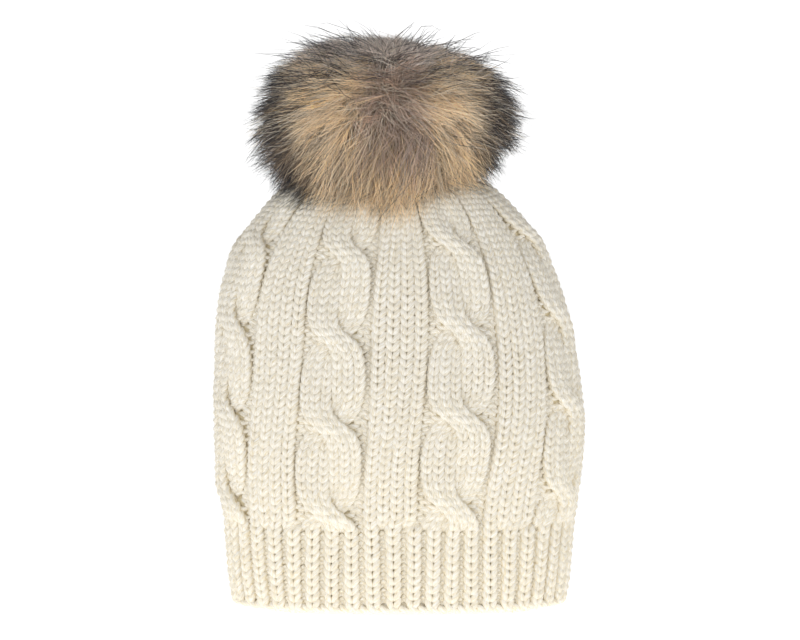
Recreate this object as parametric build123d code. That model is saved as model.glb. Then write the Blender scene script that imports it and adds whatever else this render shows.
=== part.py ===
from build123d import *
import os
from math import copysign, cos, pi, sin

# A cable-knit beanie with a snap-on fur pom pom, standing open on its brim as it sits on a head.
# Millimetres, +Z up, front towards -Y. The origin is the middle of the brim's bottom edge.
# The knit is a hollow dome: a ribbed brim below, the cabled body above, gathered at the crown
# by a drawn yarn. A press stud sewn to the crown holds the pom pom: a small stuffed ball of
# fur pelt on a short thread shank, with long fur all round it.

# ---- Driving dimensions ----
HAT_WIDTH = 222.0  # outside, across the widest part of the body
HAT_DEPTH = 154.0  # outside, front to back
CROWN_HEIGHT = 260.0  # brim edge to the flat top of the crown
BRIM_HEIGHT = 50.0
BRIM_TOP_HALF_WIDTH = 105.5
WALL = 8.0  # thickness of the knit
SQUARENESS = 2.4  # 2 gives an ellipse, more gives a squarer plan
ROUNDING = 0.8  # below 1 the plan grows rounder towards the crown
SECTION_POINTS = 32

CROWN_TOP_RADIUS = 26.0
CROWN_HOLE_RADIUS = 6.0

# Half width and height of the outer wall, from the brim's edge to the crown's flat top.
OUTER_PROFILE = [
    (100.0, 0.0),
    (103.0, 20.0),
    (BRIM_TOP_HALF_WIDTH, BRIM_HEIGHT),
    (HAT_WIDTH / 2, 100.0),
    (108.5, 150.0),
    (102.0, 190.0),
    (89.0, 220.0),
    (70.0, 243.0),
    (48.0, 255.5),
    (CROWN_TOP_RADIUS, CROWN_HEIGHT),
]

SEAM_WIDTH = 5.0
SEAM_THICKNESS = 2.5
SEAM_TOP = 225.0
LABEL_WIDTH = 14.0
LABEL_HEIGHT = 26.0
LABEL_THICKNESS = 0.8
LABEL_BOTTOM = 52.0

DRAW_YARN_RADIUS = 1.4
BACKING_RADIUS = 17.0
BACKING_THICKNESS = 2.0

THREAD_RADIUS = 0.45
STITCH_COUNT = 4
STITCH_CIRCLE = 7.2  # radius of the snap flanges' sewing holes
STITCH_HOLE_RADIUS = 0.6

FLANGE_RADIUS = 8.5
FLANGE_THICKNESS = 1.2
STUD_NECK_RADIUS = 2.1
STUD_NECK_HEIGHT = 1.8
STUD_HEAD_RADIUS = 2.5
STUD_HEAD_HEIGHT = 1.2
SNAP_GAP = 0.3
SOCKET_RADIUS = 5.0
SOCKET_BORE_RADIUS = 2.65
SOCKET_HEIGHT = 3.5
BORE_HEADROOM = 0.4
RING_RADIUS = 2.97
RING_WIRE_RADIUS = 0.3
RING_GROOVE_RADIUS = 3.35
RING_GROOVE_HEIGHT = 0.8
RING_HEIGHT = 1.3  # above the socket's lower edge

SHANK_RADIUS = 2.2
SHANK_LENGTH = 2.4  # between the two pivots
SHANK_CLEARANCE = 0.15

BASE_DISC_RADIUS = 13.0
BASE_DISC_THICKNESS = 1.5
PELT_RADIUS = 21.0
PELT_THICKNESS = 1.5
PELT_NECK_RADIUS = 8.0
PELT_NECK_HEIGHT = 1.0  # between the base disc and the ball
FILLING_CLEARANCE = 0.2
GATHER_THREAD_RADIUS = 0.8

FUR_HALF_WIDTH = 81.0
FUR_HALF_DEPTH = 72.0
FUR_HALF_HEIGHT = 53.0
FUR_SIDE_SHIFT = -5.0  # the fur lies a little to one side
FUR_CENTRE_ABOVE_CROWN = 30.0
FUR_CLEARANCE = 0.3
FUR_LIFT = 9.5  # room under the fur for the pom pom to tip
FUR_ROOT_RADIUS = 14.5

SKIRT_HALF_WIDTH = 72.0
SKIRT_HALF_DEPTH = 66.0
SKIRT_REACH = 30.0  # it hangs no lower than this below the crown's top
SKIRT_GAP = 2.5  # above the knit, however the pom pom is turned

# ---- Heights that follow from them ----
STUD_FLANGE_TOP = CROWN_HEIGHT + FLANGE_THICKNESS
STUD_TOP = STUD_FLANGE_TOP + STUD_NECK_HEIGHT + STUD_HEAD_HEIGHT
SOCKET_BOTTOM = STUD_FLANGE_TOP + SNAP_GAP
SOCKET_FLANGE_BOTTOM = SOCKET_BOTTOM + SOCKET_HEIGHT
SOCKET_TOP = SOCKET_FLANGE_BOTTOM + FLANGE_THICKNESS
FRONT_PIVOT_HEIGHT = SOCKET_TOP + SHANK_CLEARANCE + SHANK_RADIUS
SIDE_PIVOT_HEIGHT = FRONT_PIVOT_HEIGHT + SHANK_LENGTH
BASE_DISC_BOTTOM = SIDE_PIVOT_HEIGHT + SHANK_RADIUS + SHANK_CLEARANCE
BASE_DISC_TOP = BASE_DISC_BOTTOM + BASE_DISC_THICKNESS
PELT_CENTRE = BASE_DISC_TOP + PELT_NECK_HEIGHT + PELT_RADIUS
FUR_CENTRE = CROWN_HEIGHT + FUR_CENTRE_ABOVE_CROWN
FUR_UNDERSIDE = CROWN_HEIGHT + FUR_LIFT


def upright_cylinder(radius, bottom, top):
    """A solid cylinder about +Z between two heights."""
    return Pos(0, 0, bottom) * Cylinder(
        radius, top - bottom, align=(Align.CENTER, Align.CENTER, Align.MIN)
    )


def slab(bottom, top):
    """A block wider than the hat between two heights."""
    side = 2 * HAT_WIDTH
    return Pos(0, 0, bottom) * Box(
        side, side, top - bottom, align=(Align.CENTER, Align.CENTER, Align.MIN)
    )


# ---- The knit dome ----
def half_depth(half_width):
    """Half depth of the plan at a half width: the plan grows rounder towards the crown."""
    return HAT_DEPTH / 2 * (2 * half_width / HAT_WIDTH) ** ROUNDING


def moved_profile(distance):
    """The outer profile moved outward by distance, along its own normals."""
    moved = []
    last = len(OUTER_PROFILE) - 1
    for i, (radius, height) in enumerate(OUTER_PROFILE):
        if i == 0:
            normal = (1.0, 0.0)
        elif i == last:
            normal = (0.0, 1.0)
        else:
            (r0, z0), (r1, z1) = OUTER_PROFILE[i - 1], OUTER_PROFILE[i + 1]
            length = ((r1 - r0) ** 2 + (z1 - z0) ** 2) ** 0.5
            normal = ((z1 - z0) / length, (r0 - r1) / length)
        moved.append((radius + distance * normal[0], height + distance * normal[1]))
    return moved


def plan_face(half_width, depth, height):
    """The superellipse plan of the hat at one height."""
    points = []
    for i in range(SECTION_POINTS):
        angle = 2 * pi * i / SECTION_POINTS
        x = copysign(abs(cos(angle)) ** (2 / SQUARENESS), cos(angle)) * half_width
        y = copysign(abs(sin(angle)) ** (2 / SQUARENESS), sin(angle)) * depth
        points.append((x, y, height))
    return Face(Wire([Edge.make_spline([Vector(*p) for p in points], periodic=True)]))


def dome(distance):
    """A solid dome whose wall is the outer wall moved outward by distance."""
    outer = zip(OUTER_PROFILE, moved_profile(distance))
    faces = [
        plan_face(radius, half_depth(outer_radius) + radius - outer_radius, height)
        for (outer_radius, _), (radius, height) in outer
    ]
    return loft(faces)


def knit_shell():
    shell = dome(0) - dome(-WALL)
    return shell - upright_cylinder(CROWN_HOLE_RADIUS, CROWN_HEIGHT - 2 * WALL, CROWN_HEIGHT + 1)


def ribbed_brim(shell):
    return shell & slab(0, BRIM_HEIGHT)


def cable_knit_body(shell):
    return shell & slab(BRIM_HEIGHT, CROWN_HEIGHT + WALL)


def back_seam():
    """The joined knit edges, a narrow ridge up the inside of the centre back."""
    ridge = dome(-WALL) - dome(-WALL - SEAM_THICKNESS)
    column = Pos(0, HAT_DEPTH / 2, SEAM_TOP / 2) * Box(SEAM_WIDTH, HAT_DEPTH, SEAM_TOP)
    return ridge & column


def care_label():
    """A blank label sewn into the side of the back seam, just above the brim."""
    x = SEAM_WIDTH / 2 + LABEL_WIDTH / 2
    y = half_depth(BRIM_TOP_HALF_WIDTH) - WALL - LABEL_THICKNESS
    z = LABEL_BOTTOM + LABEL_HEIGHT / 2
    return Pos(x, y, z) * Box(LABEL_WIDTH, LABEL_THICKNESS, LABEL_HEIGHT)


# ---- The crown ----
def crown_draw_yarn():
    major = CROWN_HOLE_RADIUS - DRAW_YARN_RADIUS - 0.1
    return Pos(0, 0, CROWN_HEIGHT - WALL / 2) * Torus(major, DRAW_YARN_RADIUS)


def crown_backing_disc():
    top = CROWN_HEIGHT - WALL
    return upright_cylinder(BACKING_RADIUS, top - BACKING_THICKNESS, top)


# ---- The press stud ----
def stitch_positions():
    """Locations of the sewing stitches, turned about +Z, with local +X outward."""
    return [Rot(0, 0, 45 + 360 * i / STITCH_COUNT) for i in range(STITCH_COUNT)]


def flange(bottom):
    disc = upright_cylinder(FLANGE_RADIUS, bottom, bottom + FLANGE_THICKNESS)
    for turn in stitch_positions():
        hole = upright_cylinder(STITCH_HOLE_RADIUS, bottom - 1, bottom + FLANGE_THICKNESS + 1)
        disc -= turn * Pos(STITCH_CIRCLE, 0, 0) * hole
    return disc


def snap_stud():
    neck_top = STUD_FLANGE_TOP + STUD_NECK_HEIGHT
    neck = upright_cylinder(STUD_NECK_RADIUS, STUD_FLANGE_TOP, neck_top)
    head = upright_cylinder(STUD_HEAD_RADIUS, neck_top, STUD_TOP)
    head = chamfer(head.edges().sort_by(Axis.Z)[-1], STUD_HEAD_HEIGHT / 3)
    return flange(CROWN_HEIGHT) + neck + head


def stitch(inner_radius, outer_radius, foot, bar, other_foot):
    """One thread: up at inner_radius, along a bar, and down at outer_radius."""
    length = outer_radius - inner_radius
    inside = Pos(inner_radius, 0, 0) * upright_cylinder(THREAD_RADIUS, foot, bar)
    along = Pos(inner_radius, 0, bar) * Rot(0, 90, 0) * upright_cylinder(THREAD_RADIUS, 0, length)
    outside = Pos(outer_radius, 0, 0) * upright_cylinder(THREAD_RADIUS, other_foot, bar)
    ends = Pos(inner_radius, 0, bar) * Sphere(THREAD_RADIUS)
    other_end = Pos(outer_radius, 0, bar) * Sphere(THREAD_RADIUS)
    return inside + along + outside + ends + other_end


def snap_stud_stitches():
    bar = STUD_FLANGE_TOP + THREAD_RADIUS
    thread = stitch(STITCH_CIRCLE, FLANGE_RADIUS + 2 * THREAD_RADIUS, CROWN_HEIGHT, bar, CROWN_HEIGHT)
    return Compound([turn * thread for turn in stitch_positions()])


def snap_socket():
    cup = upright_cylinder(SOCKET_RADIUS, SOCKET_BOTTOM, SOCKET_FLANGE_BOTTOM)
    bore = upright_cylinder(SOCKET_BORE_RADIUS, SOCKET_BOTTOM - 1, STUD_TOP + BORE_HEADROOM)
    ring_height = SOCKET_BOTTOM + RING_HEIGHT
    groove = upright_cylinder(
        RING_GROOVE_RADIUS,
        ring_height - RING_GROOVE_HEIGHT / 2,
        ring_height + RING_GROOVE_HEIGHT / 2,
    )
    return cup + flange(SOCKET_FLANGE_BOTTOM) - bore - groove


def snap_ring_spring():
    return Pos(0, 0, SOCKET_BOTTOM + RING_HEIGHT) * Torus(RING_RADIUS, RING_WIRE_RADIUS)


def snap_socket_stitches():
    bar = SOCKET_TOP + THREAD_RADIUS
    thread = stitch(SHANK_RADIUS + 2 * THREAD_RADIUS, STITCH_CIRCLE, SOCKET_TOP, bar, SOCKET_FLANGE_BOTTOM)
    return Compound([turn * thread for turn in stitch_positions()])


# ---- The pom pom ----
def pom_shank():
    """Wound thread with round ends, each centred on the pivot that it bends about."""
    stem = upright_cylinder(SHANK_RADIUS, FRONT_PIVOT_HEIGHT, SIDE_PIVOT_HEIGHT)
    lower = Pos(0, 0, FRONT_PIVOT_HEIGHT) * Sphere(SHANK_RADIUS)
    upper = Pos(0, 0, SIDE_PIVOT_HEIGHT) * Sphere(SHANK_RADIUS)
    return stem + lower + upper


def pom_base_disc():
    return upright_cylinder(BASE_DISC_RADIUS, BASE_DISC_BOTTOM, BASE_DISC_TOP)


def pelt_outline():
    ball = Pos(0, 0, PELT_CENTRE) * Sphere(PELT_RADIUS)
    return ball + upright_cylinder(PELT_NECK_RADIUS, BASE_DISC_TOP, PELT_CENTRE)


def pom_pelt():
    return pelt_outline() - Pos(0, 0, PELT_CENTRE) * Sphere(PELT_RADIUS - PELT_THICKNESS)


def pom_filling():
    radius = PELT_RADIUS - PELT_THICKNESS - FILLING_CLEARANCE
    return Pos(0, 0, PELT_CENTRE) * Sphere(radius)


def pom_gather_thread():
    major = PELT_NECK_RADIUS + GATHER_THREAD_RADIUS + 0.05
    return Pos(0, 0, BASE_DISC_TOP + GATHER_THREAD_RADIUS + 0.05) * Torus(major, GATHER_THREAD_RADIUS)


def swept_crown(distance):
    """What the crown could reach if it turned under the pom pom, moved outward by distance."""
    wall = [point for point in moved_profile(distance) if point[1] > CROWN_HEIGHT / 2]
    low_radius, low = wall[0]
    top_radius, top = wall[-1]
    outline = [
        Spline(*wall),
        Line((top_radius, top), (0, top)),
        Line((0, top), (0, low)),
        Line((0, low), (low_radius, low)),
    ]
    return revolve(Plane.XZ * make_face(outline), Axis.Z)


def pom_fur():
    ball = scale(Sphere(1.0), by=(FUR_HALF_WIDTH, FUR_HALF_DEPTH, FUR_HALF_HEIGHT))
    fur = Pos(FUR_SIDE_SHIFT, 0, FUR_CENTRE) * ball
    fur -= Pos(0, 0, PELT_CENTRE) * Sphere(PELT_RADIUS + FUR_CLEARANCE)
    fur -= upright_cylinder(FUR_ROOT_RADIUS, CROWN_HEIGHT, PELT_CENTRE)
    return split(fur, Plane.XY.offset(FUR_UNDERSIDE), keep=Keep.TOP)


def pom_fur_skirt():
    """The lowest fur, which hangs over the crown and gives way when the pom pom tips."""
    bottom = CROWN_HEIGHT - SKIRT_REACH
    plan = Ellipse(SKIRT_HALF_WIDTH, SKIRT_HALF_DEPTH)
    skirt = Pos(FUR_SIDE_SHIFT, 0, bottom) * extrude(plan, FUR_UNDERSIDE - FUR_CLEARANCE - bottom)
    skirt -= swept_crown(SKIRT_GAP)
    return skirt - upright_cylinder(FUR_ROOT_RADIUS, bottom, FUR_UNDERSIDE)


def main():
    shell = knit_shell()
    parts = {
        "ribbed_brim": ribbed_brim(shell),
        "cable_knit_body": cable_knit_body(shell),
        "back_seam": back_seam(),
        "care_label": care_label(),
        "crown_draw_yarn": crown_draw_yarn(),
        "crown_backing_disc": crown_backing_disc(),
        "snap_stud": snap_stud(),
        "snap_stud_stitches": snap_stud_stitches(),
        "snap_ring_spring": snap_ring_spring(),
        "snap_socket": snap_socket(),
        "snap_socket_stitches": snap_socket_stitches(),
        "pom_shank": pom_shank(),
        "pom_base_disc": pom_base_disc(),
        "pom_gather_thread": pom_gather_thread(),
        "pom_pelt": pom_pelt(),
        "pom_filling": pom_filling(),
        "pom_fur": pom_fur(),
        "pom_fur_skirt": pom_fur_skirt(),
    }
    os.makedirs("parts", exist_ok=True)
    for name, shape in parts.items():
        export_step(shape, f"parts/{name}.step")


main()
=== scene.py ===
import math

import bpy
import numpy as np
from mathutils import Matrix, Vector


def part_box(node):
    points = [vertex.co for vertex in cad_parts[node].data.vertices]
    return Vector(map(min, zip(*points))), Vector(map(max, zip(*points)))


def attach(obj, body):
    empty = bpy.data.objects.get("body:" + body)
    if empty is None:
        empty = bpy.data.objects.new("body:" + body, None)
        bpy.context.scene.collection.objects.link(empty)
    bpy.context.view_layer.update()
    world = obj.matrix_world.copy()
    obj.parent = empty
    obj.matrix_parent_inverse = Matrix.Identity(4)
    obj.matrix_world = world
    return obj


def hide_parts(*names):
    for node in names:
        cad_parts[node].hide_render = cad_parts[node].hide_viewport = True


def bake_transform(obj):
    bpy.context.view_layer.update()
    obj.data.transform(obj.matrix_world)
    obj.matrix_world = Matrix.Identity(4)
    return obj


# A cable-knit beanie with a fur pom pom, knitted loop by loop round the CAD frame.
# Metres, +Z up, front towards -Y. Every course of the knit is one closed yarn round the hat,
# which makes the V stitches outside, the purl bumps inside, the ribs and the cables.

MM = 0.001
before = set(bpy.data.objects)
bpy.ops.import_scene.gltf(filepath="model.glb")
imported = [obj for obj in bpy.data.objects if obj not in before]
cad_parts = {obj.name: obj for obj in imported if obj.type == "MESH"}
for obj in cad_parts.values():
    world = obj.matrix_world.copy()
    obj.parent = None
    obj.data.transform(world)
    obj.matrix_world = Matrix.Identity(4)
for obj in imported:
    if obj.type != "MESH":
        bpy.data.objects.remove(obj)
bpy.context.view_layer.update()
rng = np.random.default_rng(20)

HALF_WIDTH, HALF_DEPTH, CROWN_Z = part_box("cable_knit_body")[1]
BRIM_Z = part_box("ribbed_brim")[1].z

# ---- The hat's surface ----
SQUARENESS = 2.4  # of the oval plan
ROUNDING = 0.8  # how the depth follows the width up the wall
LEAN = -6 * MM  # how far the slack crown sags sideways
SAG_START, SAG_SPAN = 0.4 * CROWN_Z, 0.45 * CROWN_Z
SAG_RIM, SAG_HUB = 3, 0.7  # the sag fades out again towards the shank
WALL_STEPS, PLAN_STEPS, PLAN_SAMPLES = 1500, 3001, 40001
# The outer wall, as shares of the half width and of the crown's height.
WALL_OUTLINE = [
    (0.901, 0.0), (0.928, 0.077), (0.950, 0.192), (1.0, 0.385), (0.977, 0.577), (0.919, 0.731),
    (0.802, 0.846), (0.631, 0.935), (0.432, 0.983), (0.234, 1.0), (0.062, 1.0),
]

# ---- The knit ----
UNITS = 8  # one panel and one cable each
PURL_SHARE, PANEL_SHARE, CABLE_SHARE = 0.042, 0.106, 0.082  # stitch widths, of a unit
RIB_PURL_SHARE, RIB_KNIT_SHARE = 0.046, 0.1207
UNIT_START = -0.245  # puts a panel at the front's middle
ROW_START, ROW_PITCH = 6.0 * MM, 4.8 * MM
YARN_RADIUS = 1.88 * MM
YARN_PINCH = 0.09  # the yarn is thinner at the ends of its loops
LOOP_HEIGHT = 0.88  # of the row pitch, above and below the row
LOOP_SPREAD = 0.235  # of the stitch's width
LOOP_DEPTH = 1.75 * MM
LOOP_POINTS = 12
JITTER = 0.05  # how uneven the stitches are
THICKNESS_JITTER = 0.6  # of the jitter
TONE_JITTER = 0.010
ROWS_IN_PIECE = 10
TWIST_POINTS = 14  # in each turn of two yarns
# Painted light and shade on the yarn: lighter where it stands out, darker where it lies deep.
PAINTED_LIGHT_SLOPE, PAINTED_LIGHT_MIDDLE = 0.5, 0.75  # how light the yarn is where it stands out
CAST_ON_HEIGHT = 3.6 * MM
CAST_ON_TURNS, CAST_ON_SWING, CAST_ON_YARN = 48, 2.2 * MM, 1.7 * MM
SEAM_END = 3 * MM  # between the seam and each end of the wall
SEAM_TURNS, SEAM_SWING, SEAM_YARN = 32, 1.4 * MM, 0.95 * MM
SEAM_DEPTH, SEAM_FLATTENED = -9.3 * MM, 0.55
DRAW_TURNS = 6
YARN_SIDES = 8
FABRIC_MIDDLE = -3.9 * MM  # below the outer surface

PANEL_RISE, PURL_HEIGHT = 0.5 * MM, -2.4 * MM  # over the fabric
RIB_KNIT_HEIGHT, RIB_PURL_HEIGHT = 0.3 * MM, -2.0 * MM
RIB_FADE_START, RIB_FADE = 1.5 * MM, 9 * MM  # below the brim's top, and its length

CABLE_PITCH = 52.2 * MM
# Where each cable crosses, from right of the front panel, anticlockwise from above.
CROSSINGS = [0.169, 0.175, 0.168, 0.172, 0.164, 0.171, 0.170, 0.165]
CABLE_DEPTH, CABLE_RISE = 2.3 * MM, 0.9 * MM
CABLE_ROUND = 0.9 * MM  # how much higher a strand's middle stitch is
CABLE_SHARPNESS = 2.1
CABLE_OVERLAP = 0.4  # power of the crossing's height: lower is squarer
CABLE_EASE, CABLE_SQUEEZE = 1.04, 0.12  # wider between crossings, narrower at them
STRAND_STITCHES = 3
CROSSING_GAP = 3.6 * MM  # how far the purl stitches are drawn in beside a crossing
CROSSING_SPREAD, CROSSING_LIFT, CROSSING_WIDENS = 8.5 * MM, 0.8 * MM, 1.5

# The columns and the courses wander: size in mm, waves round the hat, rate up the wall, phase.
SIDE_WAVES = [(0.9, 3, 31, 0.6), (0.6, 8, -47, 2.0)]
RISE_WAVES = [(0.8, 5, 0, 1.1), (0.5, 11, 23, 0.0)]
KNIT_TURN, TURN_MIDDLE = 15.2 * MM, 0.46  # how far the columns turn on their way up

NARROWEST_LOOP, ROOM_POWER = 0.3, 0.35  # how the yarn follows its stitch's room
HUB_SHARE, HUB_YARN, HUB_SLOPE = 0.5, 0.8, 0.4

BACKING_AROUND, BACKING_LAYERS = 360, 116
BACKING_START, BACKING_THICKNESS = 4 * MM, 1.2 * MM
BACKING_FOLLOWS = 0.85, 0.5  # the fabric, outside and inside

PLIES = 3.0
PLY_TWIST = 16 * MM  # length of one turn
FIBRE_STRETCH = 130.0

FLUFF, FLUFF_PIECES = 15000, 3
FLUFF_RADIUS, FLUFF_TOP = 0.06 * MM, 0.232
FLUFF_LENGTH, FLUFF_STAND = (2.0, 5.5), (0.2, 1.5)  # mm
FLUFF_ROOT = 0.6  # of the yarn's radius
FLUFF_CURL, FLUFF_ARCH = 1.6, 2.6

# ---- The fur ----
FUR_LOW, FUR_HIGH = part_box("pom_fur")
FUR_HALF = np.array([(FUR_HIGH.x - FUR_LOW.x) / 2, (FUR_HIGH.y - FUR_LOW.y) / 2, 53 * MM])
FUR_MIDDLE = np.array([(FUR_HIGH.x + FUR_LOW.x) / 2, 0.0, FUR_HIGH.z - FUR_HALF[2]])
FUR_ROUND_BELOW, FUR_ROUND_ABOVE = 2.3, 2.15  # powers of the outline: 2 is an ellipse
FUR_DROOP = 14 * MM  # how much the lower half hangs in its middle
DROOP_HALF = 0.85
FUR_SLANT = 0.13  # how much the top and the bottom lean to the left
FUR_SHIFT = 2 * MM
WHORL = np.array([-0.08, -0.74, 0.70])  # the hair is combed away from here
WHORL_SPREAD, ROOT_SPREAD = 0.27, 0.09
ROOT_DEPTH = (0.5, 0.62)  # where the hair starts, as shares of the outline
ROOT_LIFT = 4 * MM
ROOT_CLEARANCE = 19 * MM  # from the shank's middle
TUFT_REACH, REACH_SPREAD = 0.955, 0.03  # shares of the outline
FLANK_SPREAD = 1.2  # the flanks are more uneven
TUFT_LUMPS, TUFT_LEAN = 0.02, 0.25
FRONT_HANG = 27 * MM
CROWN_CLEARANCE = (1.5, 4.5)  # mm
STEEPEST = 4  # slope of the crown
HALVINGS = 12  # to find the crown's height
SHANK_BARE = 35 * MM  # no tips under the pom pom this near the shank
HANG_FRONT, HANG_LOW, HANG_SPAN = 0.5, 0.05, 0.6  # where on the pom pom the hair hangs
HANG_SHARE, COMB_SHARE = (0.15, 1.0), (0.7, 1.1)
MOST_TURNED = 0.8  # of the way to the whorl
HANDLE_OUT, HANDLE_BACK, BULGE = 0.38, 0.3, (0.02, 0.12)  # of the hairs' length
SWAY_PHASE = 0.8
TUFTS, IN_TUFT = 2600, 15
HAIR_RADIUS = (0.12, 0.23)  # mm
PALE_RADIUS, DARK_RADIUS = 0.17 * MM, 0.23 * MM
# The dark wisps: over a height and off the middle, or on the flanks, and no further.
WISP_HEIGHT, WISP_SIDE, WISP_FLANK, WISP_REACH = 22 * MM, 12 * MM, 62 * MM, 1.02
STRAND_RINGS = np.array([0.0, 0.3, 0.55, 0.8, 1.0])
STRAND_TAPER = np.array([1.0, 1.0, 0.9, 0.6, 0.15])
STRANDS_IN_PIECE = 7000
LUMP_WAVES = 9
BALL_AROUND, BALL_RINGS = 96, 48
UNDERFUR_RINGS, UNDERFUR_ANGLE = 60, math.radians(128)
UNDERFUR_REACH, UNDERFUR_LUMPS = 0.66, 0.025
UNDERFUR_LIFT, UNDERFUR_GAP = 2 * MM, 0.4 * MM
PLEATS, PLEAT_FROM, PLEAT_SPAN = 18, 1.5, 1.5  # at the pelt's neck
SKIN_REACH, SKIN_UNEVEN = 0.985, 0.012
FIBRE_REACH, FIBRE_UNEVEN = 0.95, 0.03
TINY = 1e-12

# The fur's colours: name, root, middle, tip, and how far up the hair the tip starts.
TAN, GREY, PAINTED_LIGHT_TOP, GOLD, DARK = range(5)
COAT = {
    TAN: ("fur_tan", (136, 117, 96), (244, 220, 186), (252, 238, 214), 0.85),
    GREY: ("fur_grey_brown", (104, 91, 81), (200, 176, 159), (198, 178, 164), 0.85),
    # The hair on top is a paler grey-brown, made lighter still as painted light from above.
    PAINTED_LIGHT_TOP: ("fur_top_painted_light", (122, 112, 104), (242, 228, 218), (228, 216, 208), 0.85),
    GOLD: ("fur_gold", (144, 119, 92), (248, 222, 184), (252, 236, 208), 0.85),
    DARK: ("fur_black_tipped", (108, 95, 84), (168, 148, 126), (28, 28, 33), 0.62),
}
PALE_GUARD = ("fur_pale_guard", (170, 156, 138), (240, 228, 208), (248, 240, 228), 0.8)
DARK_GUARD = ("fur_dark_guard", (120, 108, 96), (120, 110, 102), (46, 46, 52), 0.5)

# Where the zones lie, in mm. Heights are over the box of the hair that clears the crown.
ZONE_UNEVEN = 3.5, 6  # across and up
GREY_MIDDLE, GREY_HALF = 2, 24
TOP_DEPTH = 16
GOLD_BELOW, ALL_GOLD_BELOW = -4, -19
DARK_BELOW, DARK_SHARE = -14, 0.1
LEFT_FLANK, LEFT_SLOPE = -68, 0.34  # the black-tipped flanks widen downwards
RIGHT_FLANK, RIGHT_SLOPE = 63, 0.15


def smoothstep(x):
    x = np.clip(x, 0.0, 1.0)
    return x * x * (3 - 2 * x)


def unit(vectors, tiny=TINY):
    return vectors / (np.linalg.norm(vectors, axis=-1, keepdims=True) + tiny)


def smooth_line(points, steps=40):
    """A Catmull-Rom curve through points."""
    p = np.array(points, float)
    p = np.vstack([2 * p[0] - p[1], p, 2 * p[-1] - p[-2]])
    a, b, c, d = (p[i : len(p) - 3 + i, None] for i in range(4))
    t = np.linspace(0, 1, steps, endpoint=False)[None, :, None]
    square = (2 * a - 5 * b + 4 * c - d) * t**2
    cube = (3 * b - a - 3 * c + d) * t**3
    spans = 0.5 * (2 * b + (c - a) * t + square + cube)
    return np.vstack([spans.reshape(-1, 2), p[-2:-1]])


def lengths_along(points):
    return np.concatenate([[0], np.cumsum(np.linalg.norm(np.diff(points, axis=0), axis=1))])


def even_table(points, count):
    """Even lengths along a line, and the points and directions there."""
    at = lengths_along(points)
    even = np.linspace(0, at[-1], count)
    line = np.stack([np.interp(even, at, column) for column in points.T], 1)
    return even, line, np.gradient(line, even, axis=0)


def wall_table():
    """Lengths up the wall, half width and height there, their slopes, half depth, its slope."""
    outline = smooth_line([(a * HALF_WIDTH, z * CROWN_Z) for a, z in WALL_OUTLINE])
    at, line, slope = even_table(outline, WALL_STEPS)
    half_depth = np.minimum(HALF_DEPTH * (line[:, 0] / HALF_WIDTH) ** ROUNDING, line[:, 0])
    return at, line, slope, half_depth, np.gradient(half_depth, at)


def plan_table():
    """Lengths round the girth from the front's middle, and points and directions there."""
    angle = np.linspace(-math.pi / 2, 1.5 * math.pi, PLAN_SAMPLES)
    x = np.sign(np.cos(angle)) * np.abs(np.cos(angle)) ** (2 / SQUARENESS) * HALF_WIDTH
    y = np.sign(np.sin(angle)) * np.abs(np.sin(angle)) ** (2 / SQUARENESS) * HALF_DEPTH
    at, line, slope = even_table(np.stack([x, y], 1), PLAN_STEPS)
    return at, line / (HALF_WIDTH, HALF_DEPTH), slope / (HALF_WIDTH, HALF_DEPTH)


WALL_AT, WALL_LINE, WALL_SLOPE, WALL_DEPTH, DEPTH_SLOPE = wall_table()
PLAN_AT, PLAN_LINE, PLAN_SLOPE = plan_table()
WALL_LENGTH = WALL_AT[-1]
GIRTH = PLAN_AT[-1]
UNIT = GIRTH / UNITS


def wall_at_height(z):
    """Length along the wall at a height below the crown's flat top."""
    return np.interp(z, WALL_LINE[:, 1], WALL_AT)


BRIM_AT = wall_at_height(BRIM_Z)


def on_hat(u, v, h):
    """Points u round the girth from the front, v up the wall and h out of it, and normals."""
    cx, cy, dcx, dcy = (
        np.interp(u, PLAN_AT, column, period=GIRTH) for column in (*PLAN_LINE.T, *PLAN_SLOPE.T)
    )
    a, z, da, dz, b, db = (
        np.interp(v, WALL_AT, column)
        for column in (*WALL_LINE.T, *WALL_SLOPE.T, WALL_DEPTH, DEPTH_SLOPE)
    )
    along = (a * dcx, b * dcy)
    up = (da * cx, db * cy, dz)
    twist = along[0] * up[1] - along[1] * up[0]
    normal = unit(np.stack([along[1] * up[2], -along[0] * up[2], twist], -1), 0)
    outer = smoothstep(a / HALF_WIDTH * SAG_RIM - SAG_HUB)
    lean = LEAN * smoothstep((z - SAG_START) / SAG_SPAN) * outer
    point = np.stack([a * cx + lean, b * cy, z], -1)
    return point + normal * np.asarray(h)[..., None], normal


# ---- Where each stitch column lies ----
PURL, PANEL, CABLE = range(3)
PANEL_STITCHES, CABLE_STITCHES = 4, 2 * STRAND_STITCHES
LEFT_PURL, RIGHT_PURL = 0, PANEL_STITCHES + 1  # of the panel
BODY_KINDS = np.array([PURL] + PANEL_STITCHES * [PANEL] + [PURL] + CABLE_STITCHES * [CABLE])
BODY_SHARES = np.array([PURL_SHARE, PANEL_SHARE, CABLE_SHARE])[BODY_KINDS]
STITCHES = len(BODY_SHARES)
RIB_SHARES = np.array(STITCHES // 2 * [RIB_PURL_SHARE, RIB_KNIT_SHARE])
COLUMNS = STITCHES * UNITS


def column_places(shares):
    """Middle and width of each column round the hat."""
    middles = UNIT_START + np.cumsum(shares) - shares / 2
    units = np.repeat(np.arange(UNITS), len(shares))
    return (units + np.tile(middles, UNITS)) * UNIT, np.tile(shares, UNITS) * UNIT


BODY_U, BODY_W = column_places(BODY_SHARES)
RIB_U, RIB_W = column_places(RIB_SHARES)
KIND = np.tile(BODY_KINDS, UNITS)
IN_UNIT = np.tile(np.arange(STITCHES), UNITS)
UNIT_OF = np.repeat(np.arange(UNITS), STITCHES)
RIB_KNIT = IN_UNIT % 2 == 1
CROSS_AT = wall_at_height(np.array(CROSSINGS))

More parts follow.
